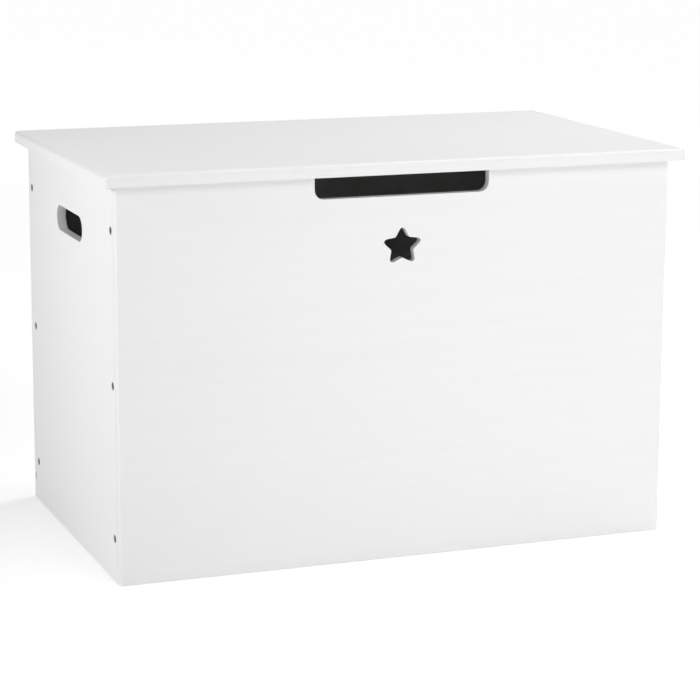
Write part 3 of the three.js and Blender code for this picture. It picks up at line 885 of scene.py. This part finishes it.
def thread(radius, top, bottom):
    """A triangular ridge wound round the shank, from one height down to another."""
    core = radius - THREAD_DEPTH
    deselect_all()
    bpy.ops.mesh.primitive_circle_add(
        vertices=3, radius=THREAD_DEPTH, fill_type="NOTHING", location=(core, 0, bottom),
        rotation=(QUARTER, QUARTER, 0),
    )
    ridge = bpy.context.object
    bpy.ops.object.transform_apply(location=True, rotation=True, scale=True)
    turns = int((top - bottom) / THREAD_PITCH)
    apply_modifier(
        ridge, "SCREW", axis="Z", angle=2 * math.pi, screw_offset=THREAD_PITCH, iterations=turns,
        steps=16, render_steps=16, use_merge_vertices=True, merge_threshold=WELD,
    )
    open_for_editing(ridge, "EDGE")
    bpy.ops.mesh.select_non_manifold()
    bpy.ops.mesh.fill()
    bpy.ops.mesh.select_all(action="SELECT")
    bpy.ops.mesh.normals_make_consistent(inside=False)
    bpy.ops.object.mode_set(mode="OBJECT")
    return ridge


# %% Make one screw of each size
# Shares of the screw's length, from its head.
THREAD_START = 0.4
NECK_END = 0.38
# Shares of the shank's radius, and of the point that stays bare of thread.
POINT_LENGTH = 2.2
NECK_RADIUS = 0.9
BARE_POINT = 0.8
# Shares of the head's radius.
FACE_RADIUS = 0.97
CROSS_LENGTH = 1.15
CROSS_DEPTH = 0.55


def wood_screw(name, head_radius, shank_radius, length):
    """A countersunk screw that points down, with the middle of its head's face at the origin."""
    core = shank_radius - THREAD_DEPTH
    neck = NECK_RADIUS * shank_radius
    rim = RIM_SHARE * head_radius
    point = POINT_LENGTH * shank_radius
    profile = [
        (0, -length),
        (core, point - length),
        (core, -THREAD_START * length),
        (neck, -NECK_END * length),
        (neck, shank_radius - head_radius - rim),
        (head_radius, -rim),
        (FACE_RADIUS * head_radius, 0),
        (0, 0),
    ]
    screw = turned(name, profile, 28)
    for turn in (0, QUARTER):
        bar = cross_bar(CROSS_LENGTH * head_radius, CROSS_DEPTH * head_radius, turn)
        cut_out(screw, [bar])
    ridge = thread(shank_radius, -THREAD_START * length, BARE_POINT * point - length)
    take_up(screw)
    ridge.select_set(True)
    bpy.ops.object.join()
    return screw


SIDE_SCREW = wood_screw("side_screw", HEAD_RADIUS, SHANK_RADIUS, 22 * MM)
HINGE_SCREW = wood_screw("hinge_screw", SMALL_HEAD, SMALL_SHANK, 13.5 * MM)
SHORT_SCREW = wood_screw("short_screw", SMALL_HEAD, SMALL_SHANK, 9.5 * MM)
PLATE_SCREW = wood_screw("plate_screw", SMALL_HEAD, SMALL_SHANK, 7.5 * MM)
print("a side screw has", len(SIDE_SCREW.data.polygons), "faces")


# %% Drive the screws in
def copy_of(piece, name):
    """A copy with a mesh of its own."""
    twin = piece.copy()
    twin.data = piece.data.copy()
    twin.name = name
    bpy.context.scene.collection.objects.link(twin)
    return twin


# The turn that points a screw away from its head along each axis, by the head's outward sign.
SCREW_TURNS = {
    (0, 1): (0, QUARTER, 0),
    (0, -1): (0, -QUARTER, 0),
    (1, 1): (-QUARTER, 0, 0),
    (2, -1): (math.pi, 0, 0),
}


def drive_screw(pattern, node, body, axis, sign, finish, twist):
    """Places a copy of a screw where a node has one, with its cross turned by a twist."""
    screw = copy_of(pattern, f"{node}_driven")
    take_up(screw)
    screw.rotation_euler = (0, 0, twist)
    bpy.ops.object.transform_apply(location=True, rotation=True, scale=True)
    stand(screw, head_place(node, axis, sign), SCREW_TURNS[axis, sign])
    shade(screw)
    coat(screw, finish)
    hand_over(screw, node, body)


# Each screw stops at a different turn, so that no two crosses stand alike.
TWIST_STEP = math.radians(67)
twist = 0.0
for label, side in SIDES.items():
    for name in SIDE_SCREW_NAMES:
        node = f"{label}_screw_{name}"
        drive_screw(SIDE_SCREW, node, "case", 0, side, BLACK_STEEL, twist)
        twist += TWIST_STEP
    for end in ("left", "right"):
        case_node = f"{label}_hinge_case_screw_{end}"
        drive_screw(HINGE_SCREW, case_node, "case", 1, 1, ZINC, twist)
        lid_node = f"{label}_hinge_lid_screw_{end}"
        drive_screw(SHORT_SCREW, lid_node, "lid", 2, -1, ZINC, twist / 2)
        twist += TWIST_STEP
    for end in ("lower", "upper"):
        node = f"{label}_stay_plate_screw_{end}"
        drive_screw(PLATE_SCREW, node, "case", 0, -side, ZINC, twist)
        twist += TWIST_STEP
    for row in ROWS:
        node = f"{label}_stay_bracket_screw_{row}"
        drive_screw(SHORT_SCREW, node, "lid", 2, -1, ZINC, twist)
        twist += TWIST_STEP
for pattern in (SIDE_SCREW, HINGE_SCREW, SHORT_SCREW, PLATE_SCREW):
    bpy.data.objects.remove(pattern)

# %% [markdown]
# ## Hinges
#
# A butt hinge is two stamped leaves whose ends are rolled round a pin. A leaf starts as a flat
# blank with two rounded corners and countersunk holes. Notches are cut where the other leaf's
# knuckles will be, and the end faces that are left are spun round the pin's axis, which is just
# what the press does to the steel. Each leaf is made hanging down behind an axis at the origin.
# The lid's leaf has its knuckle in the middle, and is turned a quarter round the pin.

# %% Sizes of a hinge
HINGE_HALF = 25 * MM
KNUCKLE_RADIUS = 3 * MM
LEAF_THICKNESS = 1.15 * MM
LEAF_REACH = 22 * MM
LEAF_CORNER = 3 * MM
KNUCKLE_SPLIT = 8.65 * MM
KNUCKLE_PLAY = 0.15 * MM
NOTCH_DEPTH = 3.6 * MM
ROLL = math.radians(300)
LEAF_SANDED = 0.12 * MM


# %% Cut and roll a leaf
def leaf_notches(rolls_middle):
    """Cutters for the places of the other leaf's knuckles."""
    if rolls_middle:
        edge = KNUCKLE_SPLIT - KNUCKLE_PLAY
        spans = [(-HINGE_HALF - OVERRUN, -edge), (edge, HINGE_HALF + OVERRUN)]
    else:
        edge = KNUCKLE_SPLIT + KNUCKLE_PLAY
        spans = [(-edge, edge)]
    reach = KNUCKLE_RADIUS + OVERRUN
    return [
        sawn_block("notch", (start, -reach, -NOTCH_DEPTH), (end, reach, OVERRUN))
        for start, end in spans
    ]


def hinge_leaf(name, seats, rolls_middle):
    """A leaf with holes at the given places, and its knuckles in the middle or at the ends."""
    leaf = sawn_block(
        name,
        (-HINGE_HALF, -KNUCKLE_RADIUS, -LEAF_REACH),
        (HINGE_HALF, LEAF_THICKNESS - KNUCKLE_RADIUS, 0),
    )
    is_foot = lambda a, b: max(a.z, b.z) < TINY - LEAF_REACH and abs(a.x - b.x) < TINY
    round_edges(leaf, is_foot, LEAF_CORNER, 6)
    cutters = [screw_seat(place, SCREW_TURNS[1, 1], SMALL_HEAD, SMALL_SHANK) for place in seats]
    cut_out(leaf, cutters + leaf_notches(rolls_middle))
    open_for_editing(leaf, "FACE")
    pick_faces(leaf, lambda centre, normal: normal.z > 0.9 and centre.z > -TINY)
    bpy.ops.mesh.spin(steps=28, angle=ROLL, center=(0, 0, 0), axis=(1, 0, 0))
    bpy.ops.mesh.select_all(action="SELECT")
    bpy.ops.mesh.remove_doubles(threshold=WELD)
    bpy.ops.mesh.normals_make_consistent(inside=False)
    bpy.ops.object.mode_set(mode="OBJECT")
    sand_edges(leaf, LEAF_SANDED, 2)
    return leaf


# %% Turn a pin with domed ends
# How wide and how high a domed head is at each point, as shares of its radius and its height.
DOME_SHARES = [(1.0, 0.0), (1.0, 0.25), (0.88, 0.62), (0.6, 0.88), (0.28, 0.98), (0.0, 1.0)]
PIN_RADIUS = 1.6 * MM
PIN_HEAD_RADIUS = 2.3 * MM
PIN_HALF = 25.2 * MM
PIN_HEAD = 0.8 * MM


def dome(radius, start, end):
    """Profile points of a domed head, from its rim at one height to its crown at another."""
    rise = end - start
    return [(radius * wide, start + rise * high) for wide, high in DOME_SHARES]


def hinge_pin(name):
    head = dome(PIN_HEAD_RADIUS, PIN_HALF, PIN_HALF + PIN_HEAD)
    foot = [(radius, -height) for radius, height in reversed(head)]
    profile = foot + [(PIN_RADIUS, -PIN_HALF), (PIN_RADIUS, PIN_HALF)] + head
    return turned(name, profile, 28)


# %% Hang the lid
def finish_metal(piece, node, body):
    shade(piece)
    coat(piece, ZINC)
    hand_over(piece, node, body)


def hinge(label):
    """A case leaf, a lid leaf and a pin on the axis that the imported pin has."""
    pin_low, pin_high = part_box(f"{label}_hinge_pin")
    axis = (pin_low + pin_high) / 2
    case_seats = []
    lid_seats = []
    for end in ("left", "right"):
        place = head_place(f"{label}_hinge_case_screw_{end}", 1, 1) - axis
        case_seats.append(place)
        place = head_place(f"{label}_hinge_lid_screw_{end}", 2, -1) - axis
        lid_seats.append(Vector((place.x, -place.z, place.y)))
    case_leaf = hinge_leaf(f"{label}_hinge_lower_leaf", case_seats, False)
    finish_metal(stand(case_leaf, axis), f"{label}_hinge_case_leaf", "case")
    lid_leaf = hinge_leaf(f"{label}_hinge_upper_leaf", lid_seats, True)
    finish_metal(stand(lid_leaf, axis, (-QUARTER, 0, 0)), f"{label}_hinge_lid_leaf", "lid")
    pin = hinge_pin(f"{label}_hinge_rod")
    finish_metal(stand(pin, axis, (0, QUARTER, 0)), f"{label}_hinge_pin", "case")


for label in SIDES:
    hinge(label)

# %% [markdown]
# ## Lid stays
#
# A heavy lid on a child's box needs stays that let it down slowly. Each stay is a plate on the
# side, a lower arm, an upper arm and a bracket under the lid, all pressed from sheet steel and
# joined by rivets with domed heads. An arm is a strip with full round ends, so it is drawn level
# from its pivot to its elbow, rounded and drilled, and then turned to lie between the two. The
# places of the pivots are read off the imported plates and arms.

# %% Find the pivots
SHEET = 1.5 * MM
ARM_RADIUS = 7 * MM
ARM_HOLE = 2.8 * MM
RIVET_RADIUS = 2.5 * MM
RIVET_HEAD_RADIUS = 4.2 * MM
RIVET_HEAD = 1.0 * MM
STRIP_SANDED = 0.2 * MM


def middle_of(node):
    low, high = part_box(node)
    return (low + high) / 2


def stay_pivots(label):
    """The side pivot, the elbow and the lid pivot of one stay."""
    elbow = middle_of(f"{label}_stay_elbow_rivet")
    ends = []
    for arm in ("lower", "upper"):
        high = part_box(f"{label}_stay_{arm}_arm")[1]
        ends.append(Vector((elbow.x, high.y - ARM_RADIUS, high.z - ARM_RADIUS)))
    return ends[0], elbow, ends[1]


# %% Bend and drill an arm
def stay_arm(node, start, end, body):
    """A strip with round ends and a hole in each, from one pivot to another."""
    reach = end - start
    reach.x = 0
    length = reach.length
    arm = sawn_block(
        f"{node}_strip",
        (-SHEET / 2, -ARM_RADIUS, -ARM_RADIUS),
        (SHEET / 2, length + ARM_RADIUS, ARM_RADIUS),
    )
    round_edges(arm, lambda a, b: abs(a.x - b.x) > TINY, ARM_RADIUS - TINY, 14)
    drills = []
    for y in (0, length):
        profile = [(0, -OVERRUN), (ARM_HOLE, -OVERRUN), (ARM_HOLE, OVERRUN), (0, OVERRUN)]
        drills.append(stand(turned("drill", profile, 28), (0, y, 0), (0, QUARTER, 0)))
    cut_out(arm, drills)
    sand_edges(arm, STRIP_SANDED, 2)
    place = Vector((middle_of(node).x, start.y, start.z))
    stand(arm, place, (math.atan2(reach.z, reach.y), 0, 0))
    finish_metal(arm, node, body)


# %% Head a rivet
def rivet(name, start, end, heads):
    """A bar along Z from one height to another, with a domed head at each end that is named."""
    foot = [(0, start)]
    crown = [(0, end)]
    if "low" in heads:
        foot = dome(RIVET_HEAD_RADIUS, start + RIVET_HEAD, start)[::-1]
        start += RIVET_HEAD
    if "high" in heads:
        crown = dome(RIVET_HEAD_RADIUS, end - RIVET_HEAD, end)
        end -= RIVET_HEAD
    return turned(name, foot + [(RIVET_RADIUS, start), (RIVET_RADIUS, end)] + crown, 28)


def weld(piece, added):
    """Joins a second closed shape to a piece."""
    apply_modifier(piece, "BOOLEAN", operation="UNION", solver="EXACT", object=added)
    bpy.data.objects.remove(added)


# %% Plates and rivets
PLATE_CORNER = 4 * MM


def stay_plate(label, side, pivot):
    """A plate with rounded corners, two screws and the rivet that the lower arm turns on."""
    node = f"{label}_stay_plate"
    low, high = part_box(node)
    back_x = high.x if side > 0 else low.x
    front_x = back_x - side * SHEET
    plate = sawn_block(
        f"{label}_stay_side_plate",
        (min(back_x, front_x), low.y, low.z),
        (max(back_x, front_x), high.y, high.z),
    )
    round_edges(plate, lambda a, b: abs(a.x - b.x) > TINY, PLATE_CORNER, 6)
    seats = []
    for end in ("lower", "upper"):
        place = head_place(f"{label}_stay_plate_screw_{end}", 0, -side)
        seats.append(screw_seat(place, SCREW_TURNS[0, -side], SMALL_HEAD, SMALL_SHANK))
    cut_out(plate, seats)
    sand_edges(plate, STRIP_SANDED, 2)
    length = high.x - low.x
    bar = rivet("pivot_rivet", -length / 2 + SHEET / 2, length / 2, ("high",))
    centre = Vector(((low.x + high.x) / 2, pivot.y, pivot.z))
    weld(plate, stand(bar, centre, SCREW_TURNS[0, -side]))
    finish_metal(plate, node, "case")


def elbow_rivet(label, elbow):
    node = f"{label}_stay_elbow_rivet"
    low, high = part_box(node)
    half = (high.x - low.x) / 2
    bar = rivet(f"{label}_stay_elbow_pin", -half, half, ("low", "high"))
    finish_metal(stand(bar, elbow, (0, QUARTER, 0)), node, f"{label}_lower_arm")


# %% Bend a bracket
BRACKET_ROUND = 9 * MM
BRACKET_SHOULDER = 4 * MM
BRACKET_BEND = 1.1 * MM
FOOT_THICKNESS = 1.3 * MM
# From the middle of the upper arm to the outer face of the bracket's flange.
FLANGE_OFFSET = 1.25 * MM


def bent_bracket(name, side, pivot, low, high):
    """A foot with a flange bent down at its outer edge, which ends in a half round."""
    inner_x = low.x if side > 0 else high.x
    flange_x = pivot.x
    bracket = sawn_block(
        name,
        (min(inner_x, flange_x), low.y, high.z - FOOT_THICKNESS),
        (max(inner_x, flange_x), high.y, high.z),
    )
    open_for_editing(bracket, "FACE")
    bpy.ops.mesh.select_all(action="SELECT")
    bend_x = flange_x - side * SHEET
    bpy.ops.mesh.bisect(plane_co=(bend_x, 0, 0), plane_no=(1, 0, 0))
    bpy.ops.mesh.select_all(action="DESELECT")
    is_strip = lambda centre, normal: normal.z < -0.9 and (centre.x - bend_x) * side > 0
    pick_faces(bracket, is_strip)
    step = FOOT_THICKNESS - BRACKET_SHOULDER
    bpy.ops.mesh.extrude_region_move(TRANSFORM_OT_translate={"value": (0, 0, step)})
    step = low.z - (high.z - BRACKET_SHOULDER)
    bpy.ops.mesh.extrude_region_move(TRANSFORM_OT_translate={"value": (0, 0, step)})
    share = 2 * BRACKET_ROUND / (high.y - low.y)
    bpy.ops.transform.resize(value=(1, share, 1), center_override=(flange_x, pivot.y, low.z))
    bpy.ops.object.mode_set(mode="OBJECT")
    is_tip = lambda a, b: abs(a.x - b.x) > TINY and max(a.z, b.z) < low.z + TINY
    round_edges(bracket, is_tip, BRACKET_ROUND - 10 * TINY, 12)
    is_bend = lambda a, b: (
        abs(a.y - b.y) > TINY and min(a.z, b.z) > high.z - TINY
        and max(abs(a.x - flange_x), abs(b.x - flange_x)) < TINY
    )
    round_edges(bracket, is_bend, BRACKET_BEND, 5)
    return bracket


def stay_bracket(label, side, pivot):
    """An angle: a foot under the lid, and a flange that hangs down to the upper arm's rivet."""
    node = f"{label}_stay_bracket"
    low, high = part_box(node)
    bracket = bent_bracket(f"{label}_stay_lid_bracket", side, pivot, low, high)
    seats = []
    for row in ROWS:
        place = head_place(f"{label}_stay_bracket_screw_{row}", 2, -1)
        seats.append(screw_seat(place, SCREW_TURNS[2, -1], SMALL_HEAD, SMALL_SHANK))
    cut_out(bracket, seats)
    sand_edges(bracket, STRIP_SANDED, 2)
    outer_x = high.x if side > 0 else low.x
    length = abs(outer_x - pivot.x) + SHEET / 2
    bar = rivet("pivot_rivet", -length / 2 - RIVET_HEAD, length / 2, ("low", "high"))
    centre = Vector(((outer_x + pivot.x - side * SHEET / 2) / 2, pivot.y, pivot.z))
    weld(bracket, stand(bar, centre, SCREW_TURNS[0, side]))
    finish_metal(bracket, node, "lid")


# %% Put both stays together
for label, side in SIDES.items():
    side_pivot, elbow, lid_pivot = stay_pivots(label)
    for name, pivot in (("side", side_pivot), ("elbow", elbow), ("lid", lid_pivot)):
        print(label, "stay,", name, "pivot in mm:", [round(c / MM, 2) for c in pivot])
    stay_plate(label, side, side_pivot)
    stay_arm(f"{label}_stay_lower_arm", side_pivot, elbow, f"{label}_lower_arm")
    elbow_rivet(label, elbow)
    stay_arm(f"{label}_stay_upper_arm", lid_pivot, elbow, f"{label}_upper_arm")
    lid_pivot.x = middle_of(f"{label}_stay_upper_arm").x - side * FLANGE_OFFSET
    stay_bracket(label, side, lid_pivot)

# %% [markdown]
# ## Bumpers
#
# Two low rubber buttons under the front corners of the lid meet the tops of the sides without a
# knock. A button is turned from a short profile with a soft shoulder.

# %% Turn the bumpers
def lid_bumper(label):
    node = f"{label}_lid_bumper"
    low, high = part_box(node)
    radius = (high.x - low.x) / 2
    profile = [(0, 0)] + dome(radius, 0, high.z - low.z)
    bumper = turned(f"{label}_lid_button", profile, 32)
    middle = middle_of(node)
    stand(bumper, (middle.x, middle.y, high.z), (math.pi, 0, 0))
    shade(bumper)
    coat(bumper, RUBBER)
    hand_over(bumper, node, "lid")


for label in SIDES:
    lid_bumper(label)

# %% [markdown]
# ## Studio
#
# The box stands on a plain pale floor under a white sky, which lights it softly from all round.
# Such light alone makes a white box look like a paper cut-out, so four lamps are added. One lifts
# the middle and the right of the front, and one the upper front corner of the left side. A wide
# strip in front of the lid and above it draws a bright line along its rounded edge, and a last one
# hangs over the lid. Each is a soft box or a spot with a fully soft edge, and the camera doesn't
# see them. The floor glows a little, more so farther out, so that it looks as white as paper and
# only keeps the box's own soft shadow.

# %% Lay the floor and raise the sky
GROUND_SIZE = 80
GROUND_DROP = 0.4 * MM
GROUND_GREY = 0.85
GLOW_NEAR = 0.26
GLOW_FAR = 0.56
GLOW_REACH = 3.0
SKY = 0.48
HORIZON = 1.05


def studio_floor():
    deselect_all()
    bpy.ops.mesh.primitive_plane_add(size=GROUND_SIZE, location=(0, 0, -GROUND_DROP))
    ground = bpy.context.object
    ground.name = "studio_floor"
    bpy.ops.object.transform_apply(location=True, rotation=True, scale=True)
    finish = Finish("studio_floor")
    place = finish.place((1 / GLOW_REACH,) * 3)
    rings = {"gradient_type": "SPHERICAL"}
    near = finish.node("ShaderNodeTexGradient", rings, {"Vector": place}, "Fac")
    coat(ground, finish.surface(
        Base_Color=grey(GROUND_GREY),
        Roughness=0.9,
        Specular_IOR_Level=0.2,
        Emission_Color=finish.blend(near, grey(GLOW_FAR), grey(GLOW_NEAR)),
        Emission_Strength=1.0,
    ))


def studio_sky():
    """White all round, and brightest near the horizon."""
    finish = Finish("studio_sky", "worlds")
    bpy.context.scene.world = finish.block
    direction = finish.node("ShaderNodeTexCoord", {}, {}, "Generated")
    height = finish.node("ShaderNodeSeparateXYZ", {}, {"Vector": direction}, "Z")
    ramp = {"stops": [(0.08, (HORIZON,) * 3), (0.24, (SKY,) * 3)]}
    colour = finish.node("ShaderNodeValToRGB", ramp, {"Fac": height})
    light = finish.node("ShaderNodeBackground", {}, {"Color": colour, "Strength": 1.0})
    finish.node("ShaderNodeOutputWorld", {}, {"Surface": light}, None)


studio_floor()
studio_sky()
bpy.context.scene.view_settings.view_transform = "Standard"

# %% Hang the lamps
LAMPS = [
    # name, place, aim, cone in degrees or width and depth in metres, watts
    ("front_spot", (0.5, -2.2, 0.5), (0.12, -0.17, 0.20), 32, 21),
    ("corner_spot", (-2.1, -0.26, 1.15), (-0.2865, -0.22, 0.34), 34, 80),
    ("edge_strip", (0.75, -1.6, 1.25), (0.1, -0.17, 0.36), (2.2, 0.5), 11.5),
    ("top_strip", (0.7, 0.3, 1.7), (0.1, 0, 0.39), (1.0, 1.0), 13.2),
]
SPOT_SOFTNESS = 0.25


def hang_lamp(name, place, aim, size, watts):
    """A spot with a soft edge where one size is given, and a soft box where two are."""
    is_spot = not isinstance(size, tuple)
    deselect_all()
    bpy.ops.object.light_add(type="SPOT" if is_spot else "AREA", location=place)
    lamp = bpy.context.object
    lamp.name = name
    lamp.data.energy = watts
    lamp.rotation_euler = (Vector(place) - Vector(aim)).to_track_quat("Z", "Y").to_euler()
    lamp.visible_camera = False
    if is_spot:
        lamp.data.spot_size = math.radians(size)
        lamp.data.spot_blend = 1.0
        lamp.data.shadow_soft_size = SPOT_SOFTNESS
    else:
        lamp.data.shape = "RECTANGLE"
        lamp.data.size, lamp.data.size_y = size


for lamp in LAMPS:
    hang_lamp(*lamp)
print("lamps:", [name for name, *_ in LAMPS])
